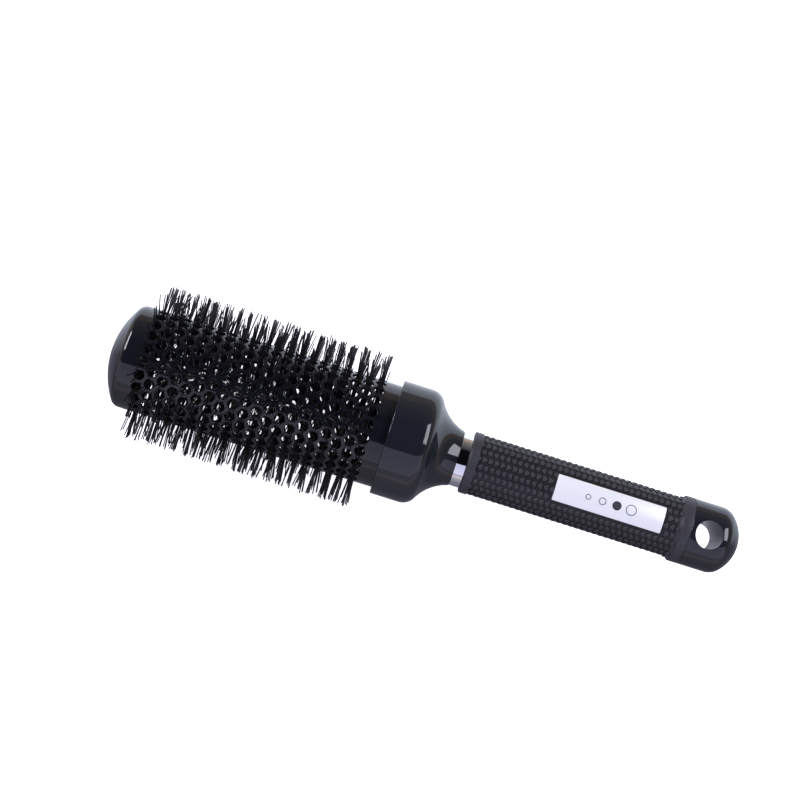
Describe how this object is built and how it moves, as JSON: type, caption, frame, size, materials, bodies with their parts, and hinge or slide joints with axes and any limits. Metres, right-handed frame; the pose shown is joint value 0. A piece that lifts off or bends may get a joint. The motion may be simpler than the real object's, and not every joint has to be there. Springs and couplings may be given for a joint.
{
  "type": "round barrel brush",
  "caption": "Vented thermal round hairbrush: perforated metal barrel with nylon bristles, bell collar, chrome ring, textured rubber grip and a tail cap with a hanging hole.",
  "frame": {"origin": "centre of the hanging hole in the tail cap, on the brush's own axis", "axes": "+X along the brush from head to tail, so the head lies towards -X; +Z along the hanging hole, out of the side that the label plate is on; +Y completes the right-handed frame"},
  "size_m": [0.2665, 0.066, 0.066],
  "materials": {
    "barrel_coat": "gloss black ceramic coat on aluminium",
    "gloss_plastic": "moulded, high gloss black",
    "inner_plastic": "moulded, unfinished",
    "bristle_nylon": "drawn nylon filament, satin",
    "stem_steel": "drawn galvanised wire",
    "chrome_plate": "polished chrome plate",
    "grip_rubber": "moulded, matte charcoal",
    "label_aluminium": "brushed along its length"
  },
  "bodies": {
    "root": {"barrel_tube": "barrel_coat", "nose_cap": "gloss_plastic", "nose_bush": "inner_plastic", "twisted_wire": "stem_steel", "bristle_row_01": "bristle_nylon", "bristle_row_02": "bristle_nylon", "bristle_row_03": "bristle_nylon", "bristle_row_04": "bristle_nylon", "bristle_row_05": "bristle_nylon", "bristle_row_06": "bristle_nylon", "bristle_row_07": "bristle_nylon", "bristle_row_08": "bristle_nylon", "bristle_row_09": "bristle_nylon", "bristle_row_10": "bristle_nylon", "bristle_row_11": "bristle_nylon", "bristle_row_12": "bristle_nylon", "bristle_row_13": "bristle_nylon", "bristle_row_14": "bristle_nylon", "bristle_row_15": "bristle_nylon", "bristle_row_16": "bristle_nylon", "bristle_row_17": "bristle_nylon", "bristle_row_18": "bristle_nylon", "bristle_row_19": "bristle_nylon", "bristle_row_20": "bristle_nylon", "rear_bush": "inner_plastic", "collar": "gloss_plastic", "handle_core": "inner_plastic", "chrome_ring": "chrome_plate", "grip_sleeve": "grip_rubber", "label_plate": "label_aluminium", "tail_cap": "gloss_plastic"}
  },
  "joints": []
}
